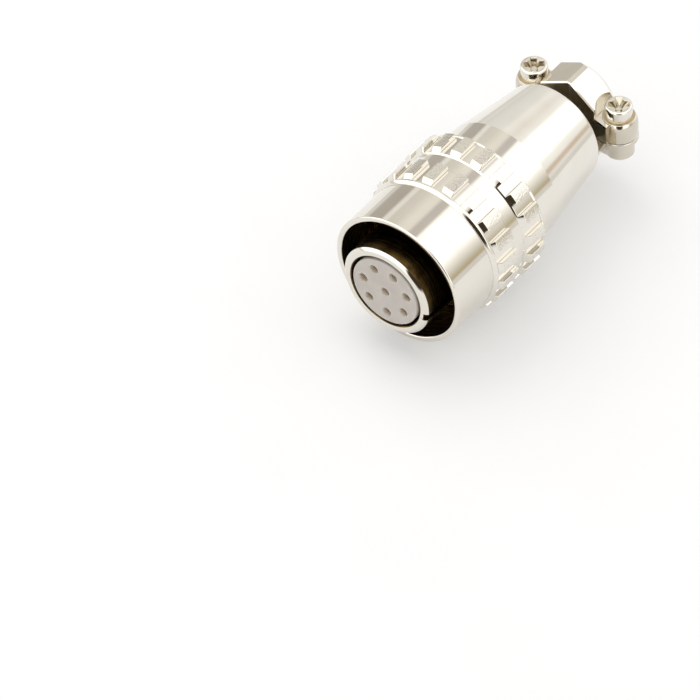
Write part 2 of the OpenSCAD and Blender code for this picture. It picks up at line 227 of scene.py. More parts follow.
def pickEdges(obj, wanted, above=0):  # edges go by their two ends, in millimetres, and by their angle
    take(obj)
    bpy.ops.object.mode_set(mode="EDIT")
    bpy.ops.mesh.select_mode(type="EDGE")
    bpy.ops.mesh.select_all(action="DESELECT")
    mesh = bmesh.from_edit_mesh(obj.data)
    for edge in mesh.edges:
        bent = edge.is_manifold and edge.calc_face_angle() >= math.radians(above)
        edge.select_set(bent and wanted(*(vert.co / mm for vert in edge.verts)))
    bmesh.update_edit_mesh(obj.data)


def pickPoints(obj, wanted):
    take(obj)
    bpy.ops.object.mode_set(mode="EDIT")
    bpy.ops.mesh.select_mode(type="VERT")
    bpy.ops.mesh.select_all(action="DESELECT")
    mesh = bmesh.from_edit_mesh(obj.data)
    for vert in mesh.verts:
        vert.select_set(wanted(vert.co / mm))
    mesh.select_flush_mode()
    bmesh.update_edit_mesh(obj.data)


def dress(obj, finishes, choose=None):
    obj.data.materials.clear()
    for finish in finishes:
        obj.data.materials.append(finish)
    for face in obj.data.polygons:
        face.material_index = choose(face) if choose else 0


def hand(obj, body, slotName, *nodes):  # the piece takes the place of its solids
    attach(obj, body)
    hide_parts(*nodes)
    print("  ", obj.name, len(obj.data.polygons), "faces")


def reach(point):  # distance from the axis, in millimetres
    return math.hypot(point.y, point.z) / mm


# helpers for finishes, with coordinates in metres on the piece itself
def addNode(tree, kind, sockets=None, **settings):
    node = tree.nodes.new(kind)
    for key, value in settings.items():
        setattr(node, key, value)
    for key, value in (sockets or {}).items():
        node.inputs[key].default_value = value
    return node


def newFinish(name, metal=0.0):
    finish = bpy.data.materials.new(name)
    finish.use_nodes = True
    tree = finish.node_tree
    shader = tree.nodes["Principled BSDF"]
    shader.inputs["Metallic"].default_value = metal
    return finish, tree, shader, addNode(tree, "ShaderNodeTexCoord").outputs["Object"]


def addNoise(tree, place, stretch, detail=3.0, rough=0.5):
    fit = addNode(tree, "ShaderNodeMapping", {"Scale": stretch})
    noise = addNode(tree, "ShaderNodeTexNoise", {"Scale": 1.0, "Detail": detail, "Roughness": rough})
    tree.links.new(place, fit.inputs["Vector"])
    tree.links.new(fit.outputs["Vector"], noise.inputs["Vector"])
    return noise.outputs[0]


def addRamp(tree, value, stops):
    ramp = addNode(tree, "ShaderNodeValToRGB")
    while len(ramp.color_ramp.elements) < len(stops):
        ramp.color_ramp.elements.new(0.5)
    for element, (place, colour) in zip(ramp.color_ramp.elements, stops):
        element.position = place
        element.color = (*colour, 1)
    tree.links.new(value, ramp.inputs["Fac"])
    return ramp.outputs["Color"]


def addRange(tree, value, low, high, toLow, toHigh):
    limits = {"From Min": low, "From Max": high, "To Min": toLow, "To Max": toHigh}
    span = addNode(tree, "ShaderNodeMapRange", limits)
    tree.links.new(value, span.inputs["Value"])
    return span.outputs["Result"]


def addSum(tree, first, second, how="ADD"):
    sums = addNode(tree, "ShaderNodeMath", operation=how)
    tree.links.new(first, sums.inputs[0])
    if isinstance(second, (int, float)):
        sums.inputs[1].default_value = second
    else:
        tree.links.new(second, sums.inputs[1])
    return sums.outputs[0]


def addBump(tree, shader, height, strength, distance):
    bump = addNode(tree, "ShaderNodeBump", {"Strength": strength, "Distance": distance * mm})
    tree.links.new(height, bump.inputs["Height"])
    tree.links.new(bump.outputs["Normal"], shader.inputs["Normal"])


def inSight(tree):  # 1 for what the camera, metal or glass sees, 0 for light on its way
    rays = addNode(tree, "ShaderNodeLightPath").outputs
    direct = addSum(tree, rays["Is Camera Ray"], rays["Is Glossy Ray"], "MAXIMUM")
    return addSum(tree, direct, rays["Is Transmission Ray"], "MAXIMUM")


# nickel plating on turned parts: slow change of tone, fine marks round the axis, a few handling scuffs
turned = {"tone": (260, 260, 260), "rings": (9000, 60, 60), "scuffs": (900, 2600, 1300), "scuffDulls": 0.09,
          "scuffDepth": 0.35, "relief": 0.02}


def turnedPlating(name, pale, deep, gloss, rougher, marks):
    finish, tree, shader, place = newFinish(name, metal=1.0)
    tone = addNoise(tree, place, turned["tone"], 4)
    tree.links.new(addRamp(tree, tone, [(0.3, deep), (0.7, pale)]), shader.inputs["Base Color"])
    rings = addNoise(tree, place, turned["rings"], 2)
    scuffs = addNoise(tree, place, turned["scuffs"], 5, 0.65)
    wear = addSum(tree, addRange(tree, rings, 0.3, 0.7, gloss, rougher),
                  addRange(tree, scuffs, 0.6, 0.8, 0.0, turned["scuffDulls"]))
    tree.links.new(wear, shader.inputs["Roughness"])
    height = addSum(tree, rings, addSum(tree, scuffs, turned["scuffDepth"], "MULTIPLY"))
    addBump(tree, shader, height, marks, turned["relief"])
    return finish


sleevePlating = turnedPlating("sleevePlating", (0.80, 0.765, 0.695), (0.765, 0.725, 0.65), 0.05, 0.09, 0.02)
tubePlating = turnedPlating("tubePlating", (0.80, 0.765, 0.695), (0.765, 0.725, 0.65), 0.05, 0.10, 0.03)
shellPlating = turnedPlating("shellPlating", (0.82, 0.79, 0.725), (0.785, 0.75, 0.68), 0.06, 0.11, 0.025)
rimPlating = turnedPlating("rimPlating", (0.82, 0.79, 0.725), (0.78, 0.745, 0.67), 0.06, 0.12, 0.03)


# painted shade: dark plating colours stand in for the shade in the sleeve's bore, on the tube's wall and in
# the creases of the bands
dark = {"tone": (420, 420, 420), "rings": (7000, 80, 80), "roughness": (0.2, 0.38), "marks": 0.15,
        "relief": 0.02}


def paintedShadePlating(name, pale, deep):
    finish, tree, shader, place = newFinish(name, metal=1.0)
    tone = addNoise(tree, place, dark["tone"], 4)
    tree.links.new(addRamp(tree, tone, [(0.35, deep), (0.7, pale)]), shader.inputs["Base Color"])
    rings = addNoise(tree, place, dark["rings"], 3)
    tree.links.new(addRange(tree, rings, 0.3, 0.7, *dark["roughness"]), shader.inputs["Roughness"])
    addBump(tree, shader, rings, dark["marks"], dark["relief"])
    return finish


# painted shade for the sleeve's bore
boreShadePlating = paintedShadePlating("boreShadePlating", (0.46, 0.36, 0.21), (0.13, 0.095, 0.05))
# painted shade for the tube's wall, the bore's edge and the keyway
wallShadePlating = paintedShadePlating("wallShadePlating", (0.16, 0.105, 0.035), (0.035, 0.018, 0.006))
# painted shade for the creases at the feet of the lands
creaseShadePlating = paintedShadePlating("creaseShadePlating", (0.60, 0.55, 0.47), (0.46, 0.41, 0.34))


# plating over a cast grain on the bands of the knurl, with edges rubbed bright
grainy = {"pits": (3800, 3800, 3800), "lumps": (1500, 1500, 1500), "lumpShare": 0.8,
          "deep": (0.66, 0.62, 0.54), "pale": (0.80, 0.77, 0.70), "roughness": (0.14, 0.28), "rubbed": 0.1,
          "bump": 0.6, "relief": 0.06}


def grainPlating(name):
    finish, tree, shader, place = newFinish(name, metal=1.0)
    pits = addNoise(tree, place, grainy["pits"], 3)
    lumps = addNoise(tree, place, grainy["lumps"], 2)
    grain = addSum(tree, pits, addSum(tree, lumps, grainy["lumpShare"], "MULTIPLY"))
    tones = addRamp(tree, pits, [(0.3, grainy["deep"]), (0.5, grainy["pale"])])
    tree.links.new(tones, shader.inputs["Base Color"])
    edges = addNode(tree, "ShaderNodeNewGeometry").outputs["Pointiness"]
    rubbed = addRange(tree, edges, 0.5, 0.56, 0.0, grainy["rubbed"])
    dull = addRange(tree, pits, 0.3, 0.7, *grainy["roughness"])
    tree.links.new(addSum(tree, dull, rubbed, "SUBTRACT"), shader.inputs["Roughness"])
    addBump(tree, shader, grain, grainy["bump"], grainy["relief"])
    return finish


bandPlating = grainPlating("bandPlating")


# saddle and screws: plated like the shell, marks from milling and from the driver
milled = {"tone": (330, 330, 330), "bump": 0.06, "relief": 0.02, "along": (700, 5000, 5000)}


def milledPlating(name, pale, deep, gloss, rougher, stretch):
    finish, tree, shader, place = newFinish(name, metal=1.0)
    tone = addNoise(tree, place, milled["tone"], 4)
    tree.links.new(addRamp(tree, tone, [(0.3, deep), (0.7, pale)]), shader.inputs["Base Color"])
    marks = addNoise(tree, place, stretch, 4, 0.6)
    tree.links.new(addRange(tree, marks, 0.3, 0.75, gloss, rougher), shader.inputs["Roughness"])
    addBump(tree, shader, marks, milled["bump"], milled["relief"])
    return finish


saddlePlating = milledPlating("saddlePlating", (0.81, 0.775, 0.71), (0.77, 0.73, 0.66),
                              0.07, 0.14, milled["along"])
# painted shade: darker plating for the left slope and the low parts of the clamp
milledShadePlating = milledPlating("milledShadePlating", (0.67, 0.625, 0.54), (0.63, 0.585, 0.50),
                            0.09, 0.16, milled["along"])
screwPlating = milledPlating("screwPlating", (0.82, 0.785, 0.715), (0.76, 0.72, 0.64),
                             0.07, 0.13, (2500, 2500, 900))
# painted shade: darker plating for the screw recesses and the pockets
recessShadePlating = milledPlating("recessShadePlating", (0.66, 0.61, 0.51), (0.52, 0.47, 0.37),
                              0.1, 0.2, (2500, 2500, 2500))
# painted shade: brown plating for the saddle's front and the screw seats
faceSeatShadePlating = milledPlating("faceSeatShadePlating", (0.62, 0.53, 0.38), (0.50, 0.42, 0.28),
                            0.3, 0.42, (1800, 2500, 2500))


# moulded insulator: some light goes into the plastic, and its skin is finely uneven
moulded = {"tone": (380, 380, 380), "skin": (4200, 4200, 4200), "lightIn": 0.7,
           "lightReach": (1.0, 0.85, 0.7), "lightDepth": 2.2, "roughness": (0.38, 0.52), "gloss": 0.4,
           "bump": 0.08, "relief": 0.03}


def mouldedPlastic(name, pale, deep):
    finish, tree, shader, place = newFinish(name)
    tone = addNoise(tree, place, moulded["tone"], 5, 0.55)
    tree.links.new(addRamp(tree, tone, [(0.3, deep), (0.7, pale)]), shader.inputs["Base Color"])
    shader.inputs["Subsurface Weight"].default_value = moulded["lightIn"]
    shader.inputs["Subsurface Radius"].default_value = moulded["lightReach"]
    shader.inputs["Subsurface Scale"].default_value = moulded["lightDepth"] * mm
    skin = addNoise(tree, place, moulded["skin"], 3)
    tree.links.new(addRange(tree, skin, 0.3, 0.7, *moulded["roughness"]), shader.inputs["Roughness"])
    shader.inputs["Specular IOR Level"].default_value = moulded["gloss"]
    addBump(tree, shader, skin, moulded["bump"], moulded["relief"])
    return finish


insulatorPlastic = mouldedPlastic("insulatorPlastic", (0.57, 0.53, 0.485), (0.50, 0.46, 0.42))
# painted light: the holes' walls are painted paler to lift the shade inside the holes
holePaintedLightPlastic = mouldedPlastic("holePaintedLightPlastic", (0.63, 0.58, 0.51), (0.57, 0.52, 0.45))


gold = {"tone": (900, 900, 900), "deep": (0.70, 0.50, 0.20), "pale": (0.83, 0.62, 0.28),
        "rings": (8000, 300, 300), "roughness": (0.16, 0.3), "bump": 0.05, "relief": 0.02}


def goldPlating(name):
    finish, tree, shader, place = newFinish(name, metal=1.0)
    tone = addNoise(tree, place, gold["tone"], 3)
    tones = addRamp(tree, tone, [(0.3, gold["deep"]), (0.7, gold["pale"])])
    tree.links.new(tones, shader.inputs["Base Color"])
    rings = addNoise(tree, place, gold["rings"], 2)
    tree.links.new(addRange(tree, rings, 0.3, 0.7, *gold["roughness"]), shader.inputs["Roughness"])
    addBump(tree, shader, rings, gold["bump"], gold["relief"])
    return finish


contactPlating = goldPlating("contactPlating")


drawn = {"tone": (1200, 500, 500), "roughness": (0.24, 0.4), "skin": (6000, 6000, 6000), "bump": 0.08,
         "relief": 0.02}


def drawnSteel(name, pale, deep):
    finish, tree, shader, place = newFinish(name, metal=1.0)
    tone = addNoise(tree, place, drawn["tone"], 4)
    tree.links.new(addRamp(tree, tone, [(0.3, deep), (0.7, pale)]), shader.inputs["Base Color"])
    tree.links.new(addRange(tree, tone, 0.3, 0.7, *drawn["roughness"]), shader.inputs["Roughness"])
    addBump(tree, shader, addNoise(tree, place, drawn["skin"], 2), drawn["bump"], drawn["relief"])
    return finish


springSteel = drawnSteel("springSteel", (0.56, 0.55, 0.53), (0.40, 0.39, 0.37))
clipSteel = drawnSteel("clipSteel", (0.46, 0.45, 0.43), (0.30, 0.29, 0.28))
print("finishes mixed")

# coupling sleeve: smooth outside, rounded rim, bore painted dark as shade, with a ramp down to its land
sleeve = {"rimRound": 0.25, "mouth": 8.75, "outside": 9.55, "seat": 9.4, "length": 13.05, "ringAt": 7.2,
          "landBore": 8.1, "webBore": 6.63, "springBore": 8.5, "ramp": (6.7, 7.35), "web": (10.9, 11.5),
          "edge": 0.05}
rampFrom, rampTo = sleeve["ramp"]
webFrom, webTo = sleeve["web"]
couplingSleeve = turnOnLathe("couplingSleeve", [
    *bend(sleeve["rimRound"], sleeve["mouth"] + sleeve["rimRound"], sleeve["rimRound"], 270, 180),
    *bend(sleeve["rimRound"], sleeve["outside"] - sleeve["rimRound"], sleeve["rimRound"], 180, 90),
    (sleeve["ringAt"], sleeve["outside"]), (sleeve["ringAt"], sleeve["seat"]),
    (sleeve["length"], sleeve["seat"]),
    (sleeve["length"], sleeve["springBore"]), (webTo, sleeve["springBore"]), (webTo, sleeve["webBore"]),
    (webFrom, sleeve["webBore"]), (webFrom, sleeve["landBore"]), (rampTo, sleeve["landBore"]),
    (rampFrom, sleeve["mouth"]),
])
easeEdges(couplingSleeve, sleeve["edge"])
# painted shade on the bore
dress(couplingSleeve, [sleevePlating, boreShadePlating],
      lambda face: 1 if face.center.x > 0.3 * mm and reach(face.center) < sleeve["mouth"] + 0.02 else 0)
hand(couplingSleeve, "sleeve_body", "sleeve_plating", "coupling_sleeve")


# knurled ring in two: each has a band of raised lands between smooth rims
knurl = {"lands": 20, "share": 0.5, "groove": 9.8, "land": 10.4, "rim": 9.95, "bore": 9.42, "channel": 9.62,
         "frontBand": (7.95, 11.5), "rearBand": (13.83, 17.2), "joint": 13.64, "gap": 0.01, "edge": 0.06,
         "slope": 0.5, "spigot": 9.56, "spigotEnd": 15.2, "thread": 9.58, "threadEnd": 15.25, "front": 7.2,
         "frontChamfer": 0.37, "rimTo": (7.82, 7.9), "back": 17.65, "backRound": 0.25, "clip": (16.8, 17.3),
         "clipFloor": 9.54, "sides": 160}


def raiseLands(obj, band):
    take(obj)
    bpy.ops.object.mode_set(mode="EDIT")
    bpy.ops.mesh.select_mode(type="FACE")
    bpy.ops.mesh.select_all(action="DESELECT")
    mesh = bmesh.from_edit_mesh(obj.data)
    pitch = 360 / knurl["lands"]
    for face in mesh.faces:
        middle = face.calc_center_median()
        outward = middle.y * face.normal.y + middle.z * face.normal.z > 0
        onBand = band[0] * mm < middle.x < band[1] * mm and abs(reach(middle) - knurl["groove"]) < 0.05
        angle = math.degrees(math.atan2(-middle.y, middle.z)) % pitch  # a land's middle is half a pitch in
        face.select_set(outward and onBand and abs(angle - pitch / 2) < pitch * knurl["share"] / 2)
    bmesh.update_edit_mesh(obj.data)
    bpy.ops.mesh.extrude_region_move(TRANSFORM_OT_translate={"value": (0, 0, 0)})
    grow = knurl["land"] / knurl["groove"]
    bpy.ops.transform.resize(value=(1, grow, grow), center_override=(0, 0, 0))
    middleHeight = (knurl["groove"] + knurl["land"]) / 2
    pickPoints(obj, lambda point: abs(point.x - band[0]) < 0.01 and point.yz.length > middleHeight)
    bpy.ops.transform.translate(value=(knurl["slope"] * mm, 0, 0))  # each land slopes down at its front
    bpy.ops.object.mode_set(mode="OBJECT")


def atJoint(point):
    return abs(point.x - knurl["joint"]) < 0.02 and point.yz.length < knurl["rim"]


def easeRing(obj):  # the joint between the two rings stays sharp
    pickEdges(obj, lambda a, b: not (atJoint(a) and atJoint(b)), above=28)
    bpy.ops.mesh.bevel(offset=knurl["edge"] * mm, segments=2, affect="EDGES")
    smoothOver(obj)


def bandFinish(face, band):  # grain on the tops of the lands, painted shade in the dull creases at their feet
    outward = (face.normal.y * face.center.y + face.normal.z * face.center.z) / mm / reach(face.center)
    x, r = face.center.x / mm, reach(face.center)
    if band[0] + 0.02 < x < band[1] - 0.02 and outward > 0.97 and r > knurl["land"] - 0.1:
        return 1
    atFoot = band[0] < x < band[1] + 0.1 and abs(r - knurl["groove"]) < 0.06
    return 2 if atFoot and 0.2 < outward < 0.96 else 0


bandFrom, bandTo = knurl["frontBand"]
shoulder = knurl["joint"] - knurl["gap"]
knurledRing = turnOnLathe("knurledRing", [
    (knurl["front"], knurl["bore"]), (knurl["front"], knurl["rim"] - knurl["frontChamfer"]),
    (knurl["front"] + knurl["frontChamfer"], knurl["rim"]), (knurl["rimTo"][0], knurl["rim"]),
    (knurl["rimTo"][1], knurl["groove"]), (bandFrom, knurl["groove"]), (bandTo, knurl["groove"]),
    (bandTo, knurl["channel"]), (shoulder, knurl["channel"]), (shoulder, knurl["spigot"]),
    (knurl["spigotEnd"], knurl["spigot"]), (knurl["spigotEnd"], knurl["bore"]),
], sides=knurl["sides"])
raiseLands(knurledRing, knurl["frontBand"])
easeRing(knurledRing)
dress(knurledRing, [rimPlating, bandPlating, creaseShadePlating],
      lambda face: bandFinish(face, knurl["frontBand"]))
hand(knurledRing, "sleeve_body", "ring_plating", "knurled_ring")

bandFrom, bandTo = knurl["rearBand"]
clipFrom, clipTo = knurl["clip"]
backRound = knurl["backRound"]
rearRing = turnOnLathe("rearRing", [
    (knurl["joint"] + knurl["gap"], knurl["thread"]), (bandFrom, knurl["groove"]), (bandTo, knurl["groove"]),
    *bend(knurl["back"] - backRound, knurl["rim"] - backRound, backRound, 90, 0),
    (knurl["back"], knurl["bore"]), (clipTo, knurl["bore"]), (clipTo, knurl["clipFloor"]),
    (clipFrom, knurl["clipFloor"]), (clipFrom, knurl["bore"]),
    (knurl["threadEnd"], knurl["bore"]), (knurl["threadEnd"], knurl["thread"]),
], sides=knurl["sides"])
raiseLands(rearRing, knurl["rearBand"])
easeRing(rearRing)
dress(rearRing, [rimPlating, bandPlating, creaseShadePlating],
      lambda face: bandFinish(face, knurl["rearBand"]))
hand(rearRing, "sleeve_body", "ring_plating", "rear_ring")
print("sleeve and rings done")

# inner shell: the tube in the mouth with its keyway, then the flange and the spigot
tube = {"outside": 6.55, "bore": 5.5, "lip": 5.36, "lipEnd": 1.5, "lipEdge": 0.12, "front": -2.5,
        "chamfer": (0.34, 0.38), "groove": (7.1, 7.6, 8.6, 9.1), "grooveFloor": 6.05,
        "flange": (15.75, 16.75), "flangeEdge": 9.34, "spigot": 7.98, "spigotEnd": 20.95,
        "spigotChamfer": 0.25, "cup": 6.85, "cupFrom": 16.083, "clip": (17.583, 18.183), "clipFloor": 7.15,
        "step": 9.1, "stepBore": 5.95, "keyAngle": 97.7, "keyWidth": 1.1, "keyFloor": 5.95, "keyEnd": 8.1,
        "edge": 0.05}
grooveFrom, floorFrom, floorTo, grooveTo = tube["groove"]
flangeFrom, flangeTo = tube["flange"]
clipFrom, clipTo = tube["clip"]
innerShell = turnOnLathe("innerShell", [
    (tube["front"] + tube["lipEdge"], tube["lip"]), (tube["front"], tube["lip"] + tube["lipEdge"]),
    (tube["front"], tube["outside"] - tube["chamfer"][1]),
    (tube["front"] + tube["chamfer"][0], tube["outside"]),
    (grooveFrom, tube["outside"]), (floorFrom, tube["grooveFloor"]), (floorTo, tube["grooveFloor"]),
    (grooveTo, tube["outside"]), (flangeFrom, tube["outside"]), (flangeFrom, tube["flangeEdge"]),
    (flangeTo, tube["flangeEdge"]), (flangeTo, tube["spigot"]),
    (tube["spigotEnd"] - tube["spigotChamfer"], tube["spigot"]),
    (tube["spigotEnd"], tube["spigot"] - tube["spigotChamfer"]), (tube["spigotEnd"], tube["cup"]),
    (clipTo, tube["cup"]), (clipTo, tube["clipFloor"]), (clipFrom, tube["clipFloor"]),
    (clipFrom, tube["cup"]),
    (tube["cupFrom"], tube["cup"]), (tube["cupFrom"], tube["stepBore"]), (tube["step"], tube["stepBore"]),
    (tube["step"], tube["bore"]), (tube["lipEnd"], tube["bore"]), (tube["lipEnd"], tube["lip"]),
])
half = tube["keyWidth"] / 2
keyCutter = addBlock("keyCutter", (tube["front"] - 1, -half, tube["keyFloor"]), (tube["keyEnd"], half, 8))
combine(innerShell, turnAbout(keyCutter, "X", tube["keyAngle"]), "DIFFERENCE")
easeEdges(innerShell, tube["edge"])
keyTurn = Matrix.Rotation(math.radians(-tube["keyAngle"]), 3, "X")


def tubeFinish(face):  # painted shade: the wall under the sleeve, the bore's edge and the keyway are painted dark brown and dull
    level, r = keyTurn @ face.center / mm, reach(face.center)
    inKeyway = abs(level.y) < half + 0.02 and tube["keyFloor"] - 0.05 < level.z < tube["outside"] - 0.03
    onWall = r > tube["outside"] - 0.06 and level.x > tube["front"] + 0.3
    inBore = r < tube["lip"] + 0.13 and level.x < 0
    return 1 if level.x < tube["keyEnd"] and (inKeyway or onWall or inBore) else 0


dress(innerShell, [tubePlating, wallShadePlating], tubeFinish)
hand(innerShell, "plug_body", "tube_plating", "inner_shell")

# front insulator: its face with eight dimpled contact holes
insulator = {"face": -2.6, "faceRound": 0.2, "neck": 5.0, "neckEnd": 1.6, "body": 5.48, "step": 9.1,
             "rear": 5.93, "end": 10.6, "edge": 0.05}
holes = {"entry": 0.62, "round": 0.16, "entryEnd": -1.3, "contact": 0.82, "collar": 1.02, "collarFrom": 9.68,
         "circle": 3.425, "first": 97.7, "around": 7, "sides": 40}
insulatorFront = turnOnLathe("insulatorFront", [
    *bend(insulator["face"] + insulator["faceRound"], insulator["neck"] - insulator["faceRound"],
          insulator["faceRound"], 180, 90),
    (insulator["neckEnd"], insulator["neck"]), (insulator["neckEnd"], insulator["body"]),
    (insulator["step"], insulator["body"]), (insulator["step"], insulator["rear"]),
    (insulator["end"], insulator["rear"]),
], hollow=False)
mouth = holes["entry"] + holes["round"]
holeCutter = turnOnLathe("holeCutter", [
    (insulator["face"] - 0.8, mouth + 0.06),
    *bend(insulator["face"] + holes["round"], mouth, holes["round"], 180, 270, 5),
    (holes["entryEnd"], holes["entry"]), (holes["entryEnd"], holes["contact"]),
    (holes["collarFrom"], holes["contact"]), (holes["collarFrom"], holes["collar"]),
    (insulator["end"] + 1, holes["collar"]),
], sides=holes["sides"], hollow=False)
cutters = [copyOf(holeCutter, "holeCutterMiddle")]
holeSpots = [Vector((0, 0))]
for i in range(holes["around"]):
    angle = holes["first"] + (i + 0.5) * 360 / holes["around"]
    cutter = moveBy(copyOf(holeCutter, "holeCutterRound"), (0, 0, holes["circle"]))
    cutters.append(turnAbout(cutter, "X", angle))
    turn = math.radians(angle)
    holeSpots.append(Vector((-math.sin(turn), math.cos(turn))) * holes["circle"])
take(holeCutter)
bpy.ops.object.delete()
take(cutters[0])
for cutter in cutters[1:]:
    cutter.select_set(True)
bpy.ops.object.join()  # all holes are cut at once
combine(insulatorFront, cutters[0], "DIFFERENCE")
easeEdges(insulatorFront, insulator["edge"], above=24)


def insulatorFinish(face):  # painted light: the holes' walls are painted a little paler
    fromHole = min((face.center.yz / mm - spot).length for spot in holeSpots)
    onWall = face.normal.x > -0.6 and face.center.x < 9 * mm
    return 1 if onWall and fromHole < holes["contact"] + 0.05 else 0


dress(insulatorFront, [insulatorPlastic, holePaintedLightPlastic], insulatorFinish)
hand(insulatorFront, "plug_body", "insulator_plastic", "insulator_front")
print("tube and insulator done")

# return spring: end turns lie flat, the coils between them rise evenly
spring = {"wire": 0.55, "middle": 7.565, "from": 11.795, "to": 15.455, "turns": 3, "steps": 32, "sides": 14}
letGo()
bpy.ops.mesh.primitive_circle_add(vertices=spring["sides"], radius=spring["wire"] / 2 * mm,
                                  location=(spring["from"] * mm, 0, spring["middle"] * mm),
                                  rotation=(math.pi / 2, 0, 0))
returnSpring = settle("returnSpring")
bpy.ops.object.modifier_add(type="SCREW")
winding = returnSpring.modifiers[-1]
winding.axis, winding.angle = "X", math.tau * spring["turns"]
winding.steps = winding.render_steps = spring["turns"] * spring["steps"]
rise = (spring["to"] - spring["from"]) * mm
winding.screw_offset = rise
winding.use_merge_vertices = False
bpy.ops.object.modifier_apply(modifier=winding.name)
bpy.ops.object.mode_set(mode="EDIT")
bpy.ops.mesh.select_all(action="SELECT")
bpy.ops.mesh.fill_holes(sides=0)
bpy.ops.mesh.select_all(action="SELECT")
bpy.ops.mesh.normals_make_consistent(inside=False)
bpy.ops.object.mode_set(mode="OBJECT")
for vertex in returnSpring.data.vertices:
    turns = (vertex.index // spring["sides"]) / spring["steps"]
    even = rise * turns / spring["turns"]
    vertex.co.x += rise * min(max((turns - 0.5) / (spring["turns"] - 1), 0), 1) - even
bpy.ops.object.shade_smooth_by_angle(angle=math.radians(40))
dress(returnSpring, [springSteel])
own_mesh(returnSpring)
hand(returnSpring, "plug_body", "spring_steel", "return_spring")

# cable clamp, turned a little about the axis with its -Y end raised
clamp = {"angle": -3.5, "screwX": 38.1, "screwY": 6.65, "ear": 2.45, "front": 36.5, "back": 40.05,
         "end": 40.85, "seat": 2.2, "base": -0.75, "joint": -0.85, "earBottom": -4.0, "boss": 1.9,
         "flange": 0.7, "shankHole": 1.08, "threadHole": 1.02}

# back shell: straight, taper, lip, then the neck and the lower half of the clamp with a boss under each ear
shell = {"front": 16.75, "frontRound": 0.25, "outside": 8.7, "taperFrom": 22.0, "taperTo": (32.78, 7.167),
         "lipGroove": (32.8, 7.12), "lip": (32.85, 6.65, 0.45), "neck": 6.55, "neckTo": 33.3, "clampR": 6.2,
         "clampEnd": 5.7, "clampRound": 0.5,
         "bore": [(15.75, 8.0), (20.95, 8.0), (22.0, 7.75), (32.9, 6.15), (36.5, 4.3), (42.35, 4.3)]}
frontRound = shell["frontRound"]
backShell = turnOnLathe("backShell", [
    *bend(shell["front"] + frontRound, shell["outside"] - frontRound, frontRound, 180, 90),
    (shell["taperFrom"], shell["outside"]), shell["taperTo"], shell["lipGroove"],
    *bend(*shell["lip"], 82, 0, 8),
], hollow=False)
lowerClamp = turnOnLathe("lowerClamp", [
    (32.0, shell["neck"]), (shell["neckTo"], shell["neck"]), (clamp["front"], shell["clampR"]),
    *bend(clamp["end"] - shell["clampRound"], shell["clampEnd"], shell["clampRound"], 90, 0),
], hollow=False)
block = addBlock("lowerBlock", (clamp["front"], -clamp["screwY"], clamp["earBottom"]),
                 (clamp["back"], clamp["screwY"], clamp["joint"] + 0.5))
combine(lowerClamp, block, "UNION")
shave(lowerClamp, (0, 0, clamp["joint"]), (0, 0, 1))
underEar = clamp["joint"] - clamp["flange"]
for side in (-1, 1):
    ear = turnOnLathe("lowerEar", [
        (clamp["earBottom"], clamp["boss"] - 0.15), (clamp["earBottom"] + 0.15, clamp["boss"]),
        (underEar, clamp["boss"]), *bend(underEar + 0.1, clamp["ear"] - 0.1, 0.1, 180, 90, 3),
        *bend(clamp["joint"] - 0.15, clamp["ear"] - 0.15, 0.15, 90, 0, 3),
    ], sides=96, hollow=False)
    turnAbout(ear, "Y", -90)
    combine(lowerClamp, moveBy(ear, (clamp["screwX"], side * clamp["screwY"], 0)), "UNION")
combine(backShell, turnAbout(lowerClamp, "X", clamp["angle"]), "UNION")
combine(backShell, turnOnLathe("shellBore", shell["bore"], hollow=False), "DIFFERENCE")
for side in (-1, 1):
    drill = addPost("drill", clamp["screwX"], side * clamp["screwY"], clamp["earBottom"] + 1, 3,
                    clamp["threadHole"], sides=48)
    combine(backShell, turnAbout(drill, "X", clamp["angle"]), "DIFFERENCE")
smoothOver(backShell)


def atTaper(point):
    return abs(point.x - shell["taperFrom"]) < 0.01 and abs(point.yz.length - shell["outside"]) < 0.05


pickEdges(backShell, lambda a, b: atTaper(a) and atTaper(b))
bpy.ops.mesh.mark_sharp()  # the taper starts at a crease
letGo()
# painted shade: the clamp half behind 35 mm takes the darker plating
dress(backShell, [shellPlating, milledShadePlating], lambda face: 1 if face.center.x > 35 * mm else 0)
hand(backShell, "plug_body", "shell_plating", "back_shell")

# saddle: roof with a flat ridge, turned down at the back, then ears, pockets for the screw heads and the arch
saddle = {"ridge": 5.7, "ridgeFlat": 0.42, "slope": 27, "side": 4.4, "lead": {1: 0.15, -1: 0.7},
          "frontEdge": 0.17, "crown": (0.1, 0.9, 0), "crownFront": 4.13, "backR": 4.973,
          "webFrom": (35.7, 4.35), "webTo": (35.93, 6.65), "webDrop": 0.12, "webEdge": 0.15,
          "pocket": {1: 2.3, -1: 3.0}, "archR": 5.62, "archZ": -4.42, "edge": 0.08, "crisp": 1.6,
          "earFoot": 0.12, "dome": [(1.35, 2.42), (1.7, 2.35), (1.98, 2.23)], "domeFrom": 0.9,
          "domeTop": 2.06}
clampSaddle = addBlock("clampSaddle", (clamp["front"], -saddle["side"], clamp["base"]),
                       (clamp["end"], saddle["side"], saddle["ridge"] + 1))
bpy.ops.object.mode_set(mode="EDIT")
bpy.ops.mesh.select_all(action="SELECT")
bpy.ops.mesh.bisect(plane_co=(0, 0, 0), plane_no=(0, 1, 0))  # middle line that the front is folded along
for side in (-1, 1):
    pickPoints(clampSaddle, lambda point: (point.x < clamp["front"] + 0.01
                                           and side * point.y > saddle["side"] - 0.01))
    bpy.ops.transform.translate(value=(-saddle["lead"][side] * mm, 0, 0))
slope = math.radians(saddle["slope"])
for side in (-1, 1):
    shave(clampSaddle, (0, 0, saddle["ridge"]), (0, side * math.sin(slope), math.cos(slope)))
pickEdges(clampSaddle, lambda a, b: min(a.z, b.z) > saddle["ridge"] - 0.01 and abs(a.x - b.x) > 1)
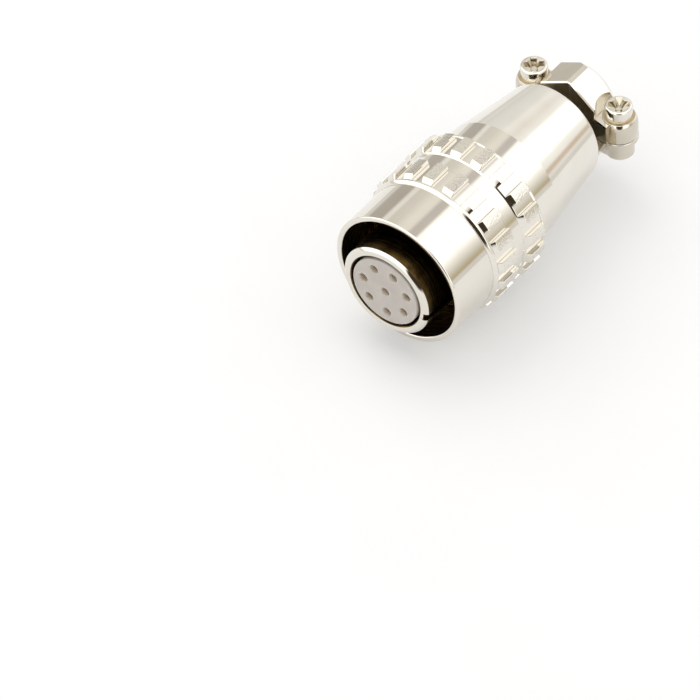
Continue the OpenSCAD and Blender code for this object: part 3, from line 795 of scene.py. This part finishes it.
bpy.ops.mesh.bevel(offset=saddle["ridgeFlat"] * mm, segments=1, affect="EDGES")


def onFrontOfRoof(a, b):
    return max(a.x, b.x) < clamp["front"] + 0.01 and min(a.z, b.z) > clamp["seat"] and abs(a.y - b.y) > 0.1


pickEdges(clampSaddle, onFrontOfRoof, above=20)
bpy.ops.mesh.bevel(offset=saddle["frontEdge"] * mm, segments=1, affect="EDGES")
letGo()
cone = turnOnLathe("cone", [
    (clamp["front"] - 1, saddle["ridge"] + saddle["crownFront"]), (clamp["back"], saddle["ridge"]),
    (clamp["end"], saddle["backR"]),
], hollow=False)
combine(clampSaddle, moveBy(cone, saddle["crown"]), "INTERSECT")
earBlock = addBlock("earBlock", (clamp["front"], -clamp["screwY"], clamp["base"]),
                    (clamp["back"], clamp["screwY"], clamp["seat"] - 0.1))
combine(clampSaddle, earBlock, "UNION")
(webX, webY), (endX, endY) = saddle["webFrom"], saddle["webTo"]
webTop = clamp["seat"] - saddle["webDrop"]
for side in (-1, 1):  # web that runs out from the roof to each ear, with a broken upper edge
    inner, outer = sorted((side * webY, side * endY))
    web = addBlock("web", (webX - 1, inner, clamp["base"]), (clamp["screwX"], outer, webTop))
    shave(web, (webX, side * webY, 0), (webY - endY, side * (webX - endX), 0))
    pickEdges(web, lambda a, b: min(a.z, b.z) > webTop - 0.01 and max(a.x, b.x) < endX + 0.1)
    bpy.ops.mesh.bevel(offset=saddle["webEdge"] * mm, segments=1, affect="EDGES")
    combine(clampSaddle, web, "UNION")
foot = saddle["earFoot"]
for side in (-1, 1):
    ear = turnOnLathe("ear", [
        *bend(clamp["base"] + foot, clamp["ear"] - foot, foot, 180, 90, 3),
        (saddle["domeFrom"], clamp["ear"]), *saddle["dome"],
        *bend(clamp["seat"] - foot, saddle["domeTop"], foot, 40, 0, 2), (clamp["seat"], 0.5),
    ], sides=96, hollow=False)
    turnAbout(ear, "Y", -90)
    combine(clampSaddle, moveBy(ear, (clamp["screwX"], side * clamp["screwY"], 0)), "UNION")
for side in (-1, 1):
    pocket = addPost("pocket", clamp["screwX"], side * clamp["screwY"], clamp["seat"], 9,
                     saddle["pocket"][side])
    combine(clampSaddle, pocket, "DIFFERENCE")
    drill = addPost("drill", clamp["screwX"], side * clamp["screwY"], clamp["base"] - 1, 9,
                    clamp["shankHole"], sides=48)
    combine(clampSaddle, drill, "DIFFERENCE")
combine(clampSaddle, addRod("arch", 35, 43, saddle["archR"], saddle["archZ"]), "DIFFERENCE")
take(clampSaddle)
bpy.ops.object.mode_set(mode="EDIT")
bpy.ops.mesh.select_all(action="SELECT")
bpy.ops.mesh.dissolve_limited(angle_limit=math.radians(0.5))  # flat faces that the cuts broke up
easeEdges(clampSaddle, saddle["edge"], above=40, crisp=saddle["crisp"])
turnAbout(clampSaddle, "X", clamp["angle"])
clampTurn = Matrix.Rotation(math.radians(-clamp["angle"]), 3, "X")


def saddleFinish(face):  # painted shade: brown on the front and on the screw seats, darker and dull on the left slope and the low parts, darker in the pockets
    spot, facing = clampTurn @ face.center / mm, clampTurn @ face.normal
    fromScrew = math.hypot(spot.x - clamp["screwX"], abs(spot.y) - clamp["screwY"])
    onSeat = facing.z > 0.9 and abs(spot.z - clamp["seat"]) < 0.02 and fromScrew < clamp["ear"] - 0.2
    if facing.x < -0.9 or onSeat:
        return 1
    pocket = saddle["pocket"][1 if spot.y > 0 else -1]
    if abs(facing.z) < 0.3 and spot.z > clamp["seat"] and abs(fromScrew - pocket) < 0.08:
        return 3
    return 2 if facing.y > 0.4 or spot.z < 2 else 0


dress(clampSaddle, [saddlePlating, faceSeatShadePlating, milledShadePlating, recessShadePlating], saddleFinish)
hand(clampSaddle, "plug_body", "saddle_plating", "clamp_saddle")

# screws: round heads with a wide, tapered cross recess
screw = {"tip": -2.9, "shank": 1.0, "head": 1.8, "seat": 2.2, "top": 4.15, "deep": 0.95, "over": 0.3,
         "cross": (1.05, 2.95), "arm": (0.44, 0.98), "core": (0.8, 1.85), "turn": {"left": 38, "right": 36},
         "tipTaper": 0.25, "foot": 0.12, "crownRound": 0.35, "edge": 0.05}


def makeScrew(name):
    body = turnOnLathe(name, [
        (screw["tip"], screw["shank"] - screw["tipTaper"]),
        (screw["tip"] + screw["tipTaper"], screw["shank"]), (screw["seat"], screw["shank"]),
        *bend(screw["seat"] + screw["foot"], screw["head"] - screw["foot"], screw["foot"], 180, 90, 3),
        *bend(screw["top"] - 0.45, screw["head"] - screw["crownRound"], screw["crownRound"], 90, 15, 6),
        (screw["top"] - 0.04, 0.9), (screw["top"], 0.4),
    ], sides=96, hollow=False)
    return turnAbout(body, "Y", -90)


def above(sizes):  # a recess size, carried on over the head
    return sizes[1] + (sizes[1] - sizes[0]) * screw["over"] / screw["deep"]


def makeCross(name):
    low, high = screw["top"] - screw["deep"], screw["top"] + screw["over"]
    length, width = above(screw["cross"]), above(screw["arm"])
    arms = []
    for i in (0, 1):
        arm = addBlock("arm", (-length / 2, -width / 2, low), (length / 2, width / 2, high))
        bpy.ops.object.mode_set(mode="EDIT")
        bpy.ops.mesh.select_mode(type="FACE")
        mesh = bmesh.from_edit_mesh(arm.data)
        for face in mesh.faces:
            face.select_set(face.normal.z < -0.5)
        bmesh.update_edit_mesh(arm.data)
        taper = (screw["cross"][0] / length, screw["arm"][0] / width, 1)
        bpy.ops.transform.resize(value=taper, center_override=(0, 0, low * mm))
        bpy.ops.object.mode_set(mode="OBJECT")
        arms.append(turnAbout(arm, "Z", 90 * i))
    arms[0].name = name
    coreOutline = [(low, screw["core"][0] / 2), (high, above(screw["core"]) / 2)]
    core = turnOnLathe("core", coreOutline, sides=32, hollow=False)
    combine(arms[0], turnAbout(core, "Y", -90), "UNION")
    return combine(arms[0], arms[1], "UNION")


def recessFinish(face, spot):  # painted shade: the walls of the recess are dull and painted darker
    outward = face.center - spot
    high = face.center.z > (screw["top"] - 1.05) * mm and face.normal.z < 0.999
    return 1 if high and outward.xy.length < 1.3 * mm and face.normal.dot(outward.normalized()) < 0.6 else 0


plainScrew = makeScrew("plainScrew")
combine(plainScrew, makeCross("cross"), "DIFFERENCE")
easeEdges(plainScrew, screw["edge"])
for label, side in (("left", 1), ("right", -1)):
    piece = copyOf(plainScrew, "clampScrew" + label.capitalize())
    turnAbout(piece, "Z", screw["turn"][label])
    moveBy(piece, (clamp["screwX"], side * clamp["screwY"], 0))
    spot = Vector((clamp["screwX"] * mm, side * clamp["screwY"] * mm, 0))
    dress(piece, [screwPlating, recessShadePlating], lambda face: recessFinish(face, spot))
    turnAbout(piece, "X", clamp["angle"])
    hand(piece, "plug_body", "screw_plating", "clamp_screw_" + label)
take(plainScrew)
bpy.ops.object.delete()
print("shell and clamp done")

# solids that keep their own shape get their finish
for node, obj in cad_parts.items():
    if node.startswith("contact_"):
        dress(obj, [contactPlating])
dress(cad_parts["insulator_rear"], [insulatorPlastic])
for node in ("insulator_retainer", "stop_ring"):
    dress(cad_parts[node], [clipSteel])

# pale floor under the lowest lands
stage = {"floorRadius": 140.0, "floorTones": ((0.93, 0.93, 0.93), (0.95, 0.95, 0.95)),
         "floorClouds": (60, 60, 60), "whiter": 0.25, "keyWatts": 1.5, "keySize": 600.0,
         "keyFrom": (0.1, 0.45, 0.6)}
letGo()
bpy.ops.mesh.primitive_circle_add(vertices=96, radius=stage["floorRadius"] * mm, fill_type="NGON",
                                  location=(aimPoint.x, aimPoint.y, solidBox[0][2]))
paleFloor = settle("paleFloor")
finish, tree, shader, place = newFinish("paleFloor")
clouds = addNoise(tree, place, stage["floorClouds"], 3)
tree.links.new(addRamp(tree, clouds, list(zip((0.3, 0.7), stage["floorTones"]))), shader.inputs["Base Color"])
shader.inputs["Roughness"].default_value = 0.9
shader.inputs["Specular IOR Level"].default_value = 0.1
whiter = addNode(tree, "ShaderNodeMixShader")
tree.links.new(addSum(tree, inSight(tree), stage["whiter"], "MULTIPLY"), whiter.inputs[0])
tree.links.new(shader.outputs[0], whiter.inputs[1])
tree.links.new(addNode(tree, "ShaderNodeEmission", {"Strength": 1.0}).outputs[0], whiter.inputs[2])
tree.links.new(whiter.outputs[0], tree.nodes["Material Output"].inputs["Surface"])
dress(paleFloor, [finish])

# large soft key lamp from behind and above, which the metal doesn't mirror
keyData = bpy.data.lights.new("softKey", "AREA")
keyData.energy, keyData.size = stage["keyWatts"], stage["keySize"] * mm
softKey = bpy.data.objects.new("softKey", keyData)
bpy.context.scene.collection.objects.link(softKey)
softKey.location = stage["keyFrom"]
softKey.rotation_euler = Vector(stage["keyFrom"]).to_track_quat("Z", "Y").to_euler()
softKey.visible_glossy = False

# studio round the object: long panels side by side over it, from the left horizon to the right one
panels = [
    (0, (0.74, 0.72, 0.68)), (4, (0.53, 0.505, 0.47)), (26, (0.53, 0.49, 0.44)), (31, (0.94, 0.93, 0.9)),
    (36, (0.94, 0.93, 0.9)), (40, (0.77, 0.74, 0.67)), (52, (0.80, 0.77, 0.71)), (66, (0.95, 0.92, 0.86)),
    (75, (0.95, 0.92, 0.86)), (81, (0.66, 0.62, 0.59)), (91, (0.68, 0.64, 0.61)), (95, (1.3, 1.3, 1.28)),
    (100, (1.5, 1.5, 1.5)), (146, (1.5, 1.5, 1.5)), (157, (1.1, 1.08, 1.04)), (167, (0.8, 0.77, 0.70)),
    (177, (0.56, 0.48, 0.32)), (180, (0.60, 0.53, 0.38)),
]
panelsBehind = [
    (0, (0.93, 0.93, 0.91)), (6, (0.85, 0.84, 0.81)), (40, (0.92, 0.91, 0.88)), (53, (1.05, 1.03, 1.0)),
    (70, (0.95, 0.92, 0.88)), (89, (1.1, 1.09, 1.06)), (97, (1.5, 1.5, 1.5)), (140, (1.5, 1.5, 1.5)),
    (150, (1.15, 1.15, 1.13)), (162, (1.05, 1.03, 0.99)), (167, (0.72, 0.63, 0.55)),
    (172, (0.74, 0.60, 0.46)), (177, (0.93, 0.91, 0.88)),
]
patches = {"behindFrom": (0.58, 0.72), "front": (1.7, 1.68, 1.62), "frontFrom": (0.2, -0.1),
           "below": (0.80, 0.78, 0.74), "belowFrom": (0.0, -0.04), "dark": (0.045, 0.032, 0.02),
           "darkTowards": (-0.76, -0.572, 0.309), "darkEdge": (0.90, 0.95), "sky": (1.0, 0.995, 0.985, 1),
           "skyLevel": 0.92}
studio = bpy.data.worlds.new("studio")
bpy.context.scene.world = studio
studio.use_nodes = True
tree = studio.node_tree
tree.nodes.clear()
outlook = addNode(tree, "ShaderNodeTexCoord").outputs["Generated"]
around = addNode(tree, "ShaderNodeSeparateXYZ")
tree.links.new(outlook, around.inputs[0])
rising = addSum(tree, around.outputs["Z"], around.outputs["Y"], "ARCTAN2")
across = addRange(tree, rising, 0.0, math.pi, 0.0, 1.0)


def overlay(under, over, share):  # colours one over the other
    mixing = addNode(tree, "ShaderNodeMix", data_type="RGBA")
    tree.links.new(share, mixing.inputs[0])
    for socket, colour in ((mixing.inputs[6], under), (mixing.inputs[7], over)):
        if isinstance(colour, tuple):
            socket.default_value = (*colour, 1)
        else:
            tree.links.new(colour, socket)
    return mixing.outputs[2]


def towards(direction, low, high):  # patch of the studio round a direction
    spread = addNode(tree, "ShaderNodeVectorMath", operation="DOT_PRODUCT")
    spread.inputs[1].default_value = Vector(direction).normalized()
    tree.links.new(outlook, spread.inputs[0])
    return addRange(tree, spread.outputs["Value"], low, high, 0.0, 1.0)


overhead = addRamp(tree, across, [(angle / 180, colour) for angle, colour in panels])
behind = addRamp(tree, across, [(angle / 180, colour) for angle, colour in panelsBehind])
atBack = addRange(tree, around.outputs["X"], *patches["behindFrom"], 0.0, 1.0)
surround = overlay(overhead, behind, atBack)
inFront = addRange(tree, around.outputs["X"], *patches["frontFrom"], 0.0, 1.0)
surround = overlay(surround, patches["front"], inFront)
underneath = addRange(tree, around.outputs["Z"], *patches["belowFrom"], 0.0, 1.0)
surround = overlay(surround, patches["below"], underneath)
besideCamera = towards(patches["darkTowards"], *patches["darkEdge"])
surround = overlay(surround, patches["dark"], besideCamera)
cameraRay = addNode(tree, "ShaderNodeLightPath").outputs["Is Camera Ray"]
seen = addNode(tree, "ShaderNodeBackground")
tree.links.new(overlay(surround, (1.0, 1.0, 1.0), cameraRay), seen.inputs["Color"])
soft = addNode(tree, "ShaderNodeBackground", {"Color": patches["sky"], "Strength": patches["skyLevel"]})
both = addNode(tree, "ShaderNodeMixShader")
tree.links.new(inSight(tree), both.inputs[0])
tree.links.new(soft.outputs[0], both.inputs[1])
tree.links.new(seen.outputs[0], both.inputs[2])
tree.links.new(both.outputs[0], addNode(tree, "ShaderNodeOutputWorld").inputs["Surface"])
print("studio lit")

letGo()
